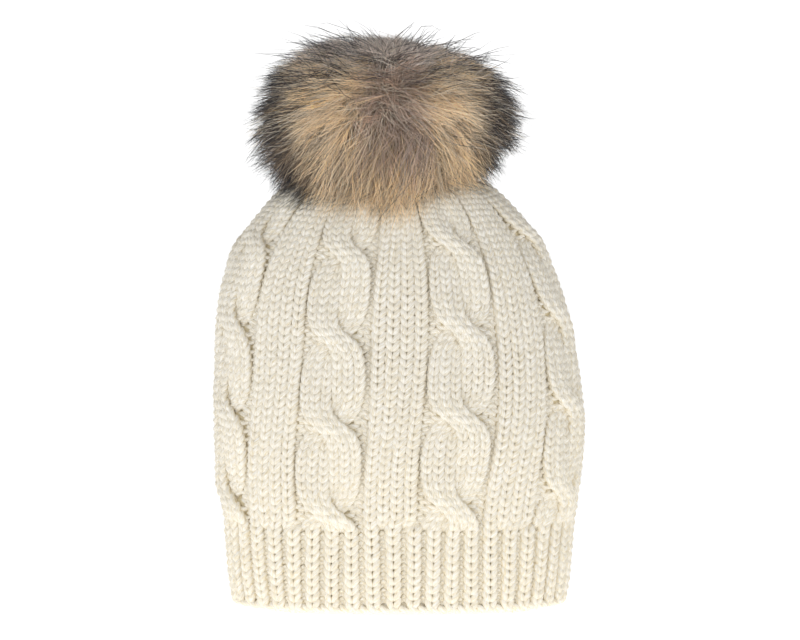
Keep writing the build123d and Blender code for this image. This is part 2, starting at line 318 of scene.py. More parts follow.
# The crown is shaped by knitting stitches together in pairs, twice.
DECREASES = [wall_at_height(0.975 * CROWN_Z), wall_at_height(0.998 * CROWN_Z)]
DECREASE_LENGTH = 5 * MM
TURN_FROM, TURN_TO = wall_at_height(0.15 * CROWN_Z), wall_at_height(0.9 * CROWN_Z)


def waves(table, turn, v):
    """The sum of a table's sine waves."""
    return sum(size * np.sin(count * turn + v * rate + start) for size, count, rate, start in table)


def drift(u, v):
    """The knit's slow wandering, sideways and up."""
    turn = 2 * math.pi * u / GIRTH
    way_up = smoothstep((v - TURN_FROM) / (TURN_TO - TURN_FROM))
    side = waves(SIDE_WAVES, turn, v) * MM + KNIT_TURN * (way_up - TURN_MIDDLE)
    return side, waves(RISE_WAVES, turn, v) * MM


def cable_place(column, v):
    """Sideways place, height and width of a cable stitch, from the cable's middle."""
    phase = math.pi * (v - CROSS_AT[UNIT_OF[column]]) / CABLE_PITCH
    strand = np.where(IN_UNIT[column] >= STITCHES - STRAND_STITCHES, 1.0, -1.0)
    offset = (IN_UNIT[column] - RIGHT_PURL - 1) % STRAND_STITCHES - 1.0
    full = CABLE_SHARE * UNIT
    width = full * (CABLE_EASE - CABLE_SQUEEZE * np.cos(phase) ** 2)
    swing = np.tanh(CABLE_SHARPNESS * np.sin(phase)) / math.tanh(CABLE_SHARPNESS)
    side = -strand * swing * STRAND_STITCHES / 2 * full * CABLE_EASE + offset * width
    over = strand * np.cos(phase) * np.abs(np.cos(phase)) ** CABLE_OVERLAP * CABLE_DEPTH
    height = CABLE_RISE + over + CABLE_ROUND * (1 - offset**2)
    return side, height, width


def purl_pull(column, v):
    """Which way a purl column beside a cable is drawn, and how much at lengths v up."""
    left = IN_UNIT[column] == LEFT_PURL
    beside = np.where(IN_UNIT[column] == RIGHT_PURL, 1.0, np.where(left, -1.0, 0.0))
    cable = (UNIT_OF[column] - left) % UNITS
    from_crossing = (v - CROSS_AT[cable] + CABLE_PITCH / 2) % CABLE_PITCH - CABLE_PITCH / 2
    return beside, np.exp(-((from_crossing / CROSSING_SPREAD) ** 2))


def moved(share, places, aims):
    """Each of some places, moved by a share of the way to its aim."""
    return [place + share * (aim - place) for place, aim in zip(places, aims)]


def wale(column, v):
    """Place round the hat, height over the fabric and width of columns at lengths v up."""
    u = BODY_U[column] + 0 * v
    w = BODY_W[column] + 0 * v
    inner = (IN_UNIT[column] > LEFT_PURL + 1) & (IN_UNIT[column] < RIGHT_PURL - 1)
    h = np.where(KIND[column] == PURL, PURL_HEIGHT, np.where(inner, PANEL_RISE, 0.0)) + 0 * v
    side, height, width = cable_place(column, v)
    is_cable = np.broadcast_to(KIND[column] == CABLE, h.shape)
    cable_middle = (UNIT_OF[column] + 0.5) * UNIT
    u = np.where(is_cable, cable_middle + side, u)
    h = np.where(is_cable, height, h)
    w = np.where(is_cable, width, w)

    beside, pull = purl_pull(column, v)
    u = u + beside * CROSSING_GAP * pull
    w = w + CROSSING_WIDENS * CROSSING_GAP * np.abs(beside) * pull
    h = h + CROSSING_LIFT * np.abs(beside) * pull

    ribbed = 1 - smoothstep((v - BRIM_AT + RIB_FADE_START) / RIB_FADE)
    rib_h = np.where(RIB_KNIT[column], RIB_KNIT_HEIGHT, RIB_PURL_HEIGHT)
    u, w, h = moved(ribbed, (u, w, h), (RIB_U[column], RIB_W[column], rib_h))

    for step, at in enumerate(DECREASES):
        group = 2 ** (step + 1)
        merged = smoothstep((v - at + DECREASE_LENGTH) / DECREASE_LENGTH)
        first = column - column % group
        middle = sum(BODY_U[first + i] for i in range(group)) / group
        total = sum(BODY_W[first + i] for i in range(group))
        u, w = moved(merged, (u, w), (middle, total))
        h = h * (1 - merged)
    return u, h, w


def columns_in_row(v):
    """The columns left at a length up the wall."""
    group = 2 ** sum(v > at for at in DECREASES)
    return np.arange(0, COLUMNS, group)


# ---- Yarn ----
def course(row):
    """One course's yarn: its points, surface normals and radii."""
    v_row = ROW_START + row * ROW_PITCH
    columns = columns_in_row(v_row)
    at_row = wale(columns, np.full(len(columns), v_row))[0]
    columns = columns[np.argsort(at_row)]
    knit = np.where(v_row < BRIM_AT, RIB_KNIT[columns], KIND[columns] != PURL)
    face = np.where(knit, 1.0, -1.0)[:, None]

    t = 2 * math.pi * np.arange(LOOP_POINTS) / LOOP_POINTS
    jitter = rng.normal(0, JITTER, (len(columns), 3))
    rise = -np.cos(t)[None] * LOOP_HEIGHT * ROW_PITCH * (1 + jitter[:, :1])
    across = t[None] / (2 * math.pi) - 0.5
    across = across + LOOP_SPREAD * np.sin(2 * t)[None] * (1 + jitter[:, 1:2])
    v = np.minimum(v_row + rise, WALL_LENGTH)
    u, h, w = wale(columns[:, None], v)
    slim = shrink(u, v, w)
    u = u + w * across
    h = h + slim * LOOP_DEPTH * -np.cos(2 * t)[None] * face + FABRIC_MIDDLE * slim
    radius = slim * YARN_RADIUS * (1 - YARN_PINCH * np.cos(2 * t)[None])
    radius = radius * (1 + THICKNESS_JITTER * jitter[:, 2:])

    u[:, 0] = 0.5 * (u[:, 0] + joined_end(u))
    h[:, 0] = 0.5 * (h[:, 0] + np.roll(h[:, -1], 1))
    side, up = drift(u, v)
    points, normals = on_hat(u + side, np.clip(v + up, 0, WALL_LENGTH), h)
    return points.reshape(-1, 3), normals.reshape(-1, 3), radius.ravel()


def joined_end(u):
    """Where the stitch before each one ends, carried over the seam."""
    end = u[:, -1] + (u[:, -1] - u[:, -2])
    before = np.roll(end, 1)
    before[0] -= GIRTH
    return before


def shrink(u, v, w):
    """How much thinner the loops are where the wall narrows towards the crown."""
    narrowing = np.interp(v, WALL_AT, WALL_LINE[:, 0]) / HALF_WIDTH
    room = w * narrowing / (PANEL_SHARE * UNIT)
    hub = np.where(narrowing < HUB_SHARE, HUB_YARN + HUB_SLOPE * narrowing, 1.0)
    return np.clip(room, NARROWEST_LOOP, 1.0) ** ROOM_POWER * hub


def ring_grid(layers, around, closed=True):
    """Quads between rings of points. Closed, the last ring joins the first."""
    i = np.arange(layers if closed else layers - 1)[:, None]
    j = np.arange(around)[None]
    after = (i + 1) % layers
    beside = (j + 1) % around
    quads = [i * around + j, i * around + beside, after * around + beside, after * around + j]
    return np.stack(quads, -1).reshape(-1, 4)


def spokes(side, up, count):
    """Directions round a line, given two across it, and their cosines and sines."""
    angle = 2 * math.pi * np.arange(count) / count
    cosine, sine = np.cos(angle), np.sin(angle)
    return side[:, None] * cosine[:, None] + up[:, None] * sine[:, None], cosine, sine


def tube(points, normals, radius, closed=True):
    """Ring vertices, quads and yarn coordinates of a round tube along points."""
    count, sides = len(points), YARN_SIDES
    if closed:
        tangent = np.roll(points, -1, 0) - np.roll(points, 1, 0)
        step = np.linalg.norm(np.roll(points, -1, 0) - points, axis=1)
    else:
        tangent = np.gradient(points, axis=0)
        step = np.append(np.linalg.norm(np.diff(points, axis=0), axis=1), 0)
    along = np.concatenate([[0], np.cumsum(step)[:-1]])
    tangent = unit(tangent, 0)
    side = unit(np.cross(tangent, normals))
    ring, cosine, sine = spokes(side, np.cross(side, tangent), sides)
    vertices = points[:, None] + ring * np.asarray(radius)[:, None, None]
    yarn = np.empty((count, sides, 3))
    yarn[..., 0] = cosine
    yarn[..., 1] = sine
    yarn[..., 2] = along[:, None]
    return vertices.reshape(-1, 3), ring_grid(count, sides, closed), yarn.reshape(-1, 3)


def end_caps(count, sides):
    """The two end polygons of an open tube."""
    first = np.arange(sides)[None]
    return [first[:, ::-1], first + (count - 1) * sides]


def put(name, data):
    """A new object in the scene."""
    thing = bpy.data.objects.new(name, data)
    bpy.context.scene.collection.objects.link(thing)
    return thing


def mesh_object(name, vertices, faces, material, **attributes):
    """A smooth mesh object: faces is a list of arrays with one row per face."""
    mesh = bpy.data.meshes.new(name)
    counts = np.concatenate([np.full(len(f), f.shape[1]) for f in faces]).astype(np.int32)
    corners = np.concatenate([f.ravel() for f in faces]).astype(np.int32)
    mesh.vertices.add(len(vertices))
    mesh.vertices.foreach_set("co", np.ascontiguousarray(vertices, np.float32).ravel())
    mesh.loops.add(len(corners))
    mesh.loops.foreach_set("vertex_index", corners)
    mesh.polygons.add(len(counts))
    mesh.polygons.foreach_set("loop_start", (np.cumsum(counts) - counts).astype(np.int32))
    mesh.update(calc_edges=True)
    mesh.polygons.foreach_set("use_smooth", np.ones(len(counts), bool))
    for key, values in attributes.items():
        kind, field = ("FLOAT_VECTOR", "vector") if values.ndim == 2 else ("FLOAT", "value")
        layer = mesh.attributes.new(key, kind, "POINT")
        layer.data.foreach_set(field, values.astype(np.float32).ravel())
    mesh.materials.append(material)
    return put(name, mesh)


def joined_object(name, parts, material):
    """One mesh object from parts, each vertices, faces and attributes."""
    starts = np.cumsum([0] + [len(vertices) for vertices, _, _ in parts])
    faces = [f + start for start, (_, some, _) in zip(starts, parts) for f in some]
    attributes = {key: np.concatenate([part[2][key] for part in parts]) for key in parts[0][2]}
    vertices = np.concatenate([part[0] for part in parts])
    return mesh_object(name, vertices, faces, material, **attributes)


def stands_for(piece, node_name, body):
    """The piece replaces a CAD node and moves with a body."""
    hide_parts(node_name)
    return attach(piece, body)


# ---- Materials ----
def linear(r, g, b):
    """A colour given as 0 to 255 screen values, as linear light."""
    return tuple(((c / 255 + 0.055) / 1.055) ** 2.4 for c in (r, g, b)) + (1.0,)


def wire(tree, receiver, inputs):
    """Sets or links a node's inputs, by name, or by number as i0 and so on."""
    for key, value in inputs.items():
        which = int(key[1:]) if key[1:].isdigit() else key.replace("_", " ")
        socket = receiver.inputs[which]
        if isinstance(value, bpy.types.NodeSocket):
            tree.links.new(value, socket)
        else:
            socket.default_value = value


def node_maker(tree):
    """A function that adds a node to a tree and gives one of its outputs."""

    def node(kind, settings=None, output=0, **inputs):
        made = tree.nodes.new("ShaderNode" + kind)
        for key, value in (settings or {}).items():
            setattr(made, key, value)
        wire(tree, made, inputs)
        return made.outputs[output]

    return node


def new_material(name, colour, roughness, **inputs):
    """A material, a function that adds a node to it, and one that wires its shader."""
    made = bpy.data.materials.new(name)
    made.use_nodes = True
    tree = made.node_tree

    def finish(**inputs):
        wire(tree, tree.nodes["Principled BSDF"], inputs)

    finish(Base_Color=colour, Roughness=roughness, **inputs)
    return made, node_maker(tree), finish


def maths(node, operation, a, b=0.0, c=0.0):
    return node("Math", {"operation": operation}, i0=a, i1=b, i2=c)


def separated(node, vector):
    return node("SeparateXYZ", i0=vector).node.outputs


def attribute(node, name, output="Fac"):
    return node("Attribute", {"attribute_name": name}, output)


def place_in(node, space="Object"):
    return node("TexCoord", None, space)


def mix_colour(node, share, a, b, **settings):
    return node("Mix", {"data_type": "RGBA", **settings}, 2, i0=share, i6=a, i7=b)


def multiplied(node, share, a, b):
    """Colour a, darkened by colour b as far as share says."""
    return mix_colour(node, share, a, b, blend_type="MULTIPLY")


def object_noise(node, **inputs):
    return node("TexNoise", Vector=place_in(node), **inputs)


def noise(scale, **inputs):
    return "TexNoise", None, "Fac", {"Scale": scale, **inputs}


def textured(name, base, roughness, texture, low, high, bump=None, **sockets):
    """A material whose colour runs from low to high with a texture.

    texture is a node's kind, settings, output and inputs. bump is a strength and a depth in mm.
    """
    made, node, finish = new_material(name, linear(*base), roughness, **sockets)
    kind, settings, output, inputs = texture
    pattern = node(kind, settings, output, Vector=place_in(node), **inputs)
    finish(Base_Color=mix_colour(node, pattern, linear(*low), linear(*high)))
    if bump:
        strength, depth = bump
        relief = node("Bump", Strength=strength, Distance=depth * MM, Height=pattern)
        finish(Normal=relief)
    return made


def yarn_material():
    """Soft three-ply yarn, with painted shade between the stitches and between its plies, and
    painted light towards the brim.
    """
    made, node, finish = new_material(
        "cream_yarn_knit", linear(238, 232, 218), 0.92, Sheen_Weight=0.15, Sheen_Roughness=0.5
    )
    x, y, along = separated(node, attribute(node, "yarn", "Vector"))
    twist = maths(node, "MULTIPLY", along, 2 * math.pi / PLY_TWIST)
    turned = maths(node, "ADD", maths(node, "ARCTAN2", y, x), twist)
    ply = maths(node, "COSINE", maths(node, "MULTIPLY", turned, PLIES))
    ply = maths(node, "MULTIPLY_ADD", ply, 0.5, 0.5)
    strand = node(
        "CombineXYZ",
        i0=maths(node, "COSINE", turned),
        i1=maths(node, "SINE", turned),
        i2=maths(node, "MULTIPLY", along, FIBRE_STRETCH),
    )
    fibre = node("TexNoise", Vector=strand, Scale=3.2, Detail=4.0, Roughness=0.65)
    cloud = object_noise(node, Scale=60.0, Detail=2.0)

    colour = mix_colour(node, cloud, linear(223, 215, 196), linear(226, 219, 202))
    # Painted light: a little lighter and warmer towards the brim, which the light falls on more
    # brightly.
    _, _, z = separated(node, place_in(node))
    low = node("MapRange", Value=z, From_Min=0.15, From_Max=0.03)
    colour = mix_colour(node, low, colour, linear(243, 234, 211))
    # Painted shade in the grooves between the plies.
    painted_ply_shade = maths(node, "SUBTRACT", 1.0, ply)
    colour = multiplied(node, painted_ply_shade, colour, linear(249, 244, 231))
    light_fibre = node("MapRange", Value=fibre, From_Min=0.35, From_Max=0.65)
    colour = multiplied(node, light_fibre, linear(252, 250, 245), colour)
    # Painted shade: the yarn is darkened towards warm tan where it lies deep between the stitches.
    painted_deep_shade = maths(node, "SUBTRACT", 1.0, attribute(node, "crest"))
    colour = multiplied(node, painted_deep_shade, colour, linear(238, 226, 192))
    toned = node("HueSaturation", Value=attribute(node, "tone"), Color=colour)

    bump = node("Bump", Strength=0.3, Distance=0.5 * MM, Height=ply)
    fine = node("Bump", Strength=0.45, Distance=0.35 * MM, Height=fibre, Normal=bump)
    finish(Base_Color=toned, Normal=fine, Specular_IOR_Level=0.2)
    return made


# ---- The knitted pieces ----
def row_mesh(row):
    """One course as a tube, with its stitches' tone and its painted crest light, which is painted
    shade where the yarn lies deep.
    """
    points, normals, radius = course(row)
    vertices, quads, yarn = tube(points, normals, radius)
    tones = 1 + rng.normal(0, TONE_JITTER, len(points) // LOOP_POINTS)
    outward = vertices - np.repeat(points, YARN_SIDES, 0)
    lift = np.einsum("ij,ij->i", outward, np.repeat(normals, YARN_SIDES, 0)) / YARN_RADIUS
    tone = np.repeat(tones, LOOP_POINTS * YARN_SIDES)
    # Painted shade: 1 where the yarn stands out, falling to 0 where it lies deep and is painted
    # darker.
    crest = smoothstep(PAINTED_LIGHT_SLOPE * lift + PAINTED_LIGHT_MIDDLE)
    return vertices, [quads], {"yarn": yarn, "tone": tone, "crest": crest}


def knit_piece(name, rows, node_name, material):
    piece = joined_object(name, [row_mesh(row) for row in rows], material)
    stands_for(piece, node_name, "hat")


def knit_all(material):
    rows = int((WALL_LENGTH - ROW_START) / ROW_PITCH)
    brim_rows = int((BRIM_AT - ROW_START) / ROW_PITCH) + 1
    knit_piece("brim_rib_knit", range(brim_rows), "ribbed_brim", material)
    for number, start in enumerate(range(brim_rows, rows, ROWS_IN_PIECE), 1):
        band = range(start, min(start + ROWS_IN_PIECE, rows))
        knit_piece(f"body_cable_knit_{number}", band, "cable_knit_body", material)


def twisted_pair(name, node_name, material, lie, turns, swing, radius, closed=True):
    """Two yarns twisted round each other. lie(share, sideways, outward) is their line."""
    parts = []
    count = turns * TWIST_POINTS
    share = np.arange(count) / (count if closed else count - 1)
    phase = 2 * math.pi * turns * share
    for start in (0.0, math.pi):
        points, normals = lie(share, swing * np.cos(phase + start), swing * np.sin(phase + start))
        vertices, quads, yarn = tube(points, normals, np.full(count, radius), closed)
        caps = [] if closed else end_caps(count, YARN_SIDES)
        # These yarns get no painted shade: their tone and painted crest light are 1 all over.
        plain = np.ones(len(vertices))
        parts.append((vertices, [quads, *caps], {"yarn": yarn, "tone": plain, "crest": plain}))
    stands_for(joined_object(name, parts, material), node_name, "hat")


def cast_on_edge(material):

    def lie(share, sideways, outward):
        up = CAST_ON_HEIGHT + 0.5 * sideways
        return on_hat(GIRTH * share, up, FABRIC_MIDDLE + outward)

    sizes = CAST_ON_TURNS, CAST_ON_SWING, CAST_ON_YARN
    twisted_pair("brim_cast_on_edge", "ribbed_brim", material, lie, *sizes)


def seam_inside(material):
    """The back seam, whipped together up the inside."""
    _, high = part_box("back_seam")
    length = wall_at_height(high.z) - 2 * SEAM_END

    def lie(share, sideways, outward):
        up = SEAM_END + length * share
        return on_hat(GIRTH / 2 + sideways, up, SEAM_DEPTH + SEAM_FLATTENED * outward)

    sizes = SEAM_TURNS, SEAM_SWING, SEAM_YARN
    twisted_pair("back_seam_stitches", "back_seam", material, lie, *sizes, closed=False)


def draw_yarn(material):
    """The yarn that gathers the crown, two rounds of it."""
    low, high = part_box("crown_draw_yarn")
    middle_z = (low.z + high.z) / 2
    thick = (high.z - low.z) / 2
    mean_radius = (high.x - low.x) / 2 - thick

    def lie(share, sideways, outward):
        turn = 2 * math.pi * share
        out = np.stack([np.cos(turn), np.sin(turn), 0 * turn], -1)
        points = out * (mean_radius + outward)[:, None]
        points[:, 2] += middle_z + sideways
        return points, out

    sizes = DRAW_TURNS, thick / 2, thick / 2
    twisted_pair("crown_draw_yarn_rounds", "crown_draw_yarn", material, lie, *sizes)


def knit_backing():
    """A closed shell in the middle of the fabric, coloured darker as painted shade where it shows
    between the stitches.
    """
    # Painted shade: the shell takes the colour of yarn in shadow.
    material = textured(
        "cream_yarn_shadow", (206, 190, 152), 0.95, noise(700.0, Detail=3.0),
        (196, 182, 146), (226, 214, 184), bump=(0.8, 0.6),
    )
    girth = GIRTH * np.arange(BACKING_AROUND) / BACKING_AROUND
    walls = np.linspace(BACKING_START, WALL_LENGTH - MM, BACKING_LAYERS)
    columns = np.arange(COLUMNS)
    lift = np.empty((BACKING_LAYERS, BACKING_AROUND))
    for row, v in enumerate(walls):
        places, heights, _ = wale(columns, np.full(COLUMNS, v))
        order = np.argsort(places % GIRTH)
        lift[row] = np.interp(girth, (places % GIRTH)[order], heights[order], period=GIRTH)
    u, v = np.meshgrid(girth, walls)
    side, up = drift(u, v)
    u, v = u + side, np.clip(v + up, 0, WALL_LENGTH - MM)
    outside, _ = on_hat(u, v, FABRIC_MIDDLE + BACKING_FOLLOWS[0] * lift)
    sunk = BACKING_FOLLOWS[1] * np.minimum(lift, 0) - BACKING_THICKNESS
    inside, _ = on_hat(u, v, FABRIC_MIDDLE + sunk)
    layers = np.concatenate([outside, inside[::-1]])
    faces = [ring_grid(len(layers), BACKING_AROUND)]
    piece = mesh_object("knit_painted_shade_shell", layers.reshape(-1, 3), faces, material)
    stands_for(piece, "cable_knit_body", "hat")


def fluff():
    """Fine fibres that stand off the yarn."""
    column = rng.integers(0, COLUMNS, FLUFF)
    way_up = rng.uniform(ROW_START, wall_at_height(FLUFF_TOP), FLUFF)
    u, h, w = wale(column, way_up)
    side, up = drift(u, way_up)
    start_u = u + side + w * rng.uniform(-0.5, 0.5, FLUFF)
    length = rng.uniform(*FLUFF_LENGTH, FLUFF)[:, None] * MM
    angle = rng.uniform(0, 2 * math.pi, FLUFF)[:, None]
    curl = rng.uniform(-FLUFF_CURL, FLUFF_CURL, FLUFF)[:, None]
    stand = rng.uniform(*FLUFF_STAND, FLUFF)[:, None] * MM
    t = STRAND_RINGS[None]
    along_u = start_u[:, None] + length * t * np.cos(angle + curl * t)
    along_v = (way_up + up)[:, None] + length * t * np.sin(angle + curl * t)
    yarn_top = (h + FABRIC_MIDDLE + LOOP_DEPTH + FLUFF_ROOT * YARN_RADIUS)[:, None]
    outward = yarn_top + stand * np.sin(FLUFF_ARCH * t)
    points, _ = on_hat(along_u, np.clip(along_v, MM, WALL_LENGTH), outward)
    material = textured(
        "cream_yarn_fluff", (236, 229, 211), 0.9, noise(90.0),
        (226, 217, 196), (244, 239, 226), Sheen_Weight=0.2,
    )
    for number, some in enumerate(np.array_split(points, FLUFF_PIECES), 1):
        plain = np.zeros(len(some))
        piece = strands(f"yarn_fluff_{number}", some, plain + FLUFF_RADIUS, plain, material)
        stands_for(piece, "cable_knit_body", "hat")


# ---- The label ----
LABEL_ACROSS, LABEL_UP = 12, 24
LABEL_CURL, CURL_UP, CURL_ACROSS = 0.5 * MM, 3, 90
LABEL_HALF = 0.12 * MM  # half of the folded ribbon's thickness


def label():
    """A folded satin ribbon, sewn in beside the seam."""
    low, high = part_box("care_label")
    across = np.linspace(low.x, high.x, LABEL_ACROSS)
    x, rise = np.meshgrid(across, np.linspace(0, 1, LABEL_UP))
    middle_y = (low.y + high.y) / 2
    curl = LABEL_CURL * np.sin(math.pi * rise) * np.cos(CURL_UP * rise + CURL_ACROSS * x)
    z = low.z + (high.z - low.z) * rise
    front = np.stack([x, middle_y + curl - LABEL_HALF, z], -1)
    back = np.stack([x, middle_y + curl + LABEL_HALF, z], -1)
    # Each row is one loop round the ribbon's edge.
    rows = np.concatenate([front, back[:, ::-1]], 1)
    around = rows.shape[1]
    quads = ring_grid(LABEL_UP, around, closed=False)
    weave = ("TexWave", None, "Fac", {"Scale": 900.0, "Distortion": 0.4})
    material = textured(
        "satin_ribbon", (236, 234, 228), 0.38, weave,
        (228, 226, 218), (242, 240, 234), bump=(0.15, 0.1), Sheen_Weight=0.2,
    )
    faces = [quads, *end_caps(LABEL_UP, around)]
    piece = mesh_object("care_label_ribbon", rows.reshape(-1, 3), faces, material)
    piece.data.polygons.foreach_set("use_smooth", np.zeros(len(piece.data.polygons), bool))
    stands_for(piece, "care_label", "hat")


# ---- The pom pom ----
def crown_height(x, y):
    """Height of the knit over a plan position, and 0 beyond the hat."""
    widest = np.argmax(WALL_LINE[:, 0])
    half_width, heights = WALL_LINE[widest:].T
    half_depth = WALL_DEPTH[widest:]
    low = np.zeros(np.shape(x), int)
    high = np.full(np.shape(x), len(heights) - 1)
    for _ in range(HALVINGS):
        middle = (low + high) // 2
        reach = np.abs(x / half_width[middle]) ** SQUARENESS
        reach = reach + np.abs(y / half_depth[middle]) ** SQUARENESS
        low = np.where(reach < 1, middle, low)
        high = np.where(reach < 1, high, middle)
    return np.where(low > 0, heights[low], 0.0)


def sagged_crown_height(x, y):
    return np.maximum(crown_height(x, y), crown_height(x - LEAN, y))


def clear_of_crown(points, clearance):
    """Points moved out along the crown's slope until they lie clear of it."""
    for _ in range(3):
        x, y, z = points[..., 0], points[..., 1], points[..., 2]
        height = sagged_crown_height(x, y)
        fall_x = sagged_crown_height(x - MM, y) - sagged_crown_height(x + MM, y)
        fall_y = sagged_crown_height(x, y - MM) - sagged_crown_height(x, y + MM)
        fall = np.stack([fall_x, fall_y], -1) / (2 * MM)
        fall = np.clip(fall, -STEEPEST, STEEPEST)
        normal = unit(np.concatenate([fall, np.ones_like(fall[..., :1])], -1), 0)
        over = (z - height) * normal[..., 2]
        push = np.where(height > 0, np.maximum(clearance - over, 0), 0)
        points = points + normal * push[..., None]
    return points


def turned_towards(directions, aim, angle):
    """Directions turned towards aim by an angle, but never the whole way."""
    cosine = np.clip(np.sum(directions * aim, 1), -1, 1)
    side = unit(aim - cosine[:, None] * directions)
    angle = np.minimum(angle, MOST_TURNED * np.arccos(cosine))[:, None]
    return np.cos(angle) * directions + np.sin(angle) * side


def fur_place(directions, reach):
    """Points of the fur's outline in a direction, scaled by reach."""
    side, height = directions[:, 0], directions[:, 2]
    below = height < 0
    power = np.where(below, FUR_ROUND_BELOW, FUR_ROUND_ABOVE)
    flat = np.hypot(side, directions[:, 1])
    size = (flat**power + np.abs(height) ** power) ** (-1 / power)
    place = directions * (size * reach)[:, None] * FUR_HALF
    # The middle of the lower half hangs.
    amid = 1 - smoothstep(np.abs(side) / DROOP_HALF)
    place[:, 2] -= np.where(below, FUR_DROOP * smoothstep(-2 * height) * amid, 0)
    place[:, 0] -= np.abs(place[:, 2]) * FUR_SLANT + FUR_SHIFT
    return FUR_MIDDLE + place


def tuft_table(count):
    """Random tufts: directions, reach, lean and tone."""
    direction = unit(rng.normal(size=(count, 3)))
    uneven = rng.normal(0, REACH_SPREAD, count) * (1 + FLANK_SPREAD * direction[:, 0] ** 4)
    reach = TUFT_REACH + uneven + TUFT_LUMPS * lumps(direction, 5, 11)
    return direction, reach, rng.normal(0, TUFT_LEAN, (count, 3)), rng.normal(0, 1, count)


def bezier(root, first, second, tip):
    """Points of cubic curves at STRAND_RINGS."""
    t = STRAND_RINGS[None, :, None]
    root, first, second, tip = (end[:, None] for end in (root, first, second, tip))
    start = (1 - t) ** 3 * root + 3 * (1 - t) ** 2 * t * first
    return start + 3 * (1 - t) * t**2 * second + t**3 * tip


def make_strands(tufts, in_tuft, reach_of, comb_angle, tip_spread, wave):
    """Hairs as curves: a row of points for each, and the tone of the tuft it is in."""
    direction, reach, lean, tone = tuft_table(tufts)
    tuft = np.repeat(np.arange(tufts), in_tuft)
    count = len(tuft)
    tip_way = unit(direction[tuft] + rng.normal(0, tip_spread, (count, 3)))
    root_way = unit(direction[tuft] + rng.normal(0, ROOT_SPREAD, (count, 3)) + lean[tuft])
    whorl = unit(WHORL + rng.normal(0, WHORL_SPREAD, (tufts, 3)))[tuft]
    root_way = turned_towards(root_way, whorl, comb_angle * rng.uniform(*COMB_SHARE, count))
    tip = fur_place(tip_way, reach[tuft] * reach_of(count))
    root = FUR_MIDDLE + root_way * FUR_HALF * rng.uniform(*ROOT_DEPTH, count)[:, None]
    root[:, 2] = np.maximum(root[:, 2], FUR_LOW.z + ROOT_LIFT)
    out_from_shank = np.hypot(root[:, 0], root[:, 1])
    root[:, :2] *= np.maximum(1, ROOT_CLEARANCE / out_from_shank)[:, None]

    # The hair over the front of the crown hangs.
    front = smoothstep(-tip_way[:, 1] / HANG_FRONT)
    front = front * smoothstep((-tip_way[:, 2] - HANG_LOW) / HANG_SPAN)
    tip[:, 2] -= front * rng.uniform(*HANG_SHARE, count) * FRONT_HANG

    # Each hair leaves the skin outwards and bends towards its tip.
    length = np.linalg.norm(tip - root, axis=1)[:, None]
    out = unit(root_way * FUR_HALF)
    middle_out = unit((tip - FUR_MIDDLE) / FUR_HALF)
    bulge = rng.uniform(*BULGE, (count, 1))
    first = root + out * length * HANDLE_OUT
    second = tip - unit(tip - root) * length * HANDLE_BACK + middle_out * length * bulge
    points = bezier(root, first, second, tip)
    t = STRAND_RINGS[None, :, None]
    sway = rng.normal(0, wave, (count, 1, 3))
    bend = sway * np.sin(math.pi * t + rng.uniform(-SWAY_PHASE, SWAY_PHASE, (count, 1, 1)))
    clearance = rng.uniform(*CROWN_CLEARANCE, (count, 1)) * MM
    return clear_of_crown(points + bend * t, clearance), tone[tuft]


def strands(name, points, radius, tone, material):
    """One mesh object of three-sided tapered closed strands."""
    count, rings = points.shape[:2]
    way = unit(points[:, -1] - points[:, 0])
    side = unit(np.cross(way, rng.normal(size=way.shape)))
    ring, _, _ = spokes(side, np.cross(way, side), 3)
    thick = radius[:, None] * STRAND_TAPER[None]
    vertices = points[:, :, None] + ring[:, None] * thick[:, :, None, None]
    base = np.arange(count)[:, None] * rings * 3
    quads = ring_grid(rings, 3, closed=False) + base[..., None]
    caps = [base + cap for cap in end_caps(rings, 3)]
    strand = np.empty((count, rings, 3, 3))
    strand[..., 0] = STRAND_RINGS[None, :, None]
    strand[..., 1] = tone[:, None, None]
    strand[..., 2] = rng.uniform(0, 1, count)[:, None, None]
    faces = [quads.reshape(-1, 4), *caps]
    strand = strand.reshape(-1, 3)
    return mesh_object(name, vertices.reshape(-1, 3), faces, material, strand=strand)


def fur_zone(tips):
    """Which colour grows where, and painted light: the hair on top takes lighter colours."""
    count = len(tips)
    x = (tips[:, 0] - FUR_MIDDLE[0] + rng.normal(0, ZONE_UNEVEN[0] * MM, count)) / MM
    z = tips[:, 2] + rng.normal(0, ZONE_UNEVEN[1] * MM, count)
    height = (z - FUR_LOW.z) / MM
    zone = np.full(count, TAN)
    zone[np.abs(x - GREY_MIDDLE) < GREY_HALF] = GREY
    # Painted light: the hair at the top is coloured lighter, as if lit from above.
    zone[z > FUR_HIGH.z - TOP_DEPTH * MM] = PAINTED_LIGHT_TOP
    zone[(height < GOLD_BELOW) & (zone != GREY)] = GOLD
    zone[height < ALL_GOLD_BELOW] = GOLD
    zone[(height < DARK_BELOW) & (rng.uniform(size=count) < DARK_SHARE)] = DARK
    hanging = np.maximum(FUR_MIDDLE[2] - z, 0) / MM
    left = x < LEFT_FLANK + LEFT_SLOPE * hanging
    zone[left | (x > RIGHT_FLANK - RIGHT_SLOPE * hanging)] = DARK
    return zone


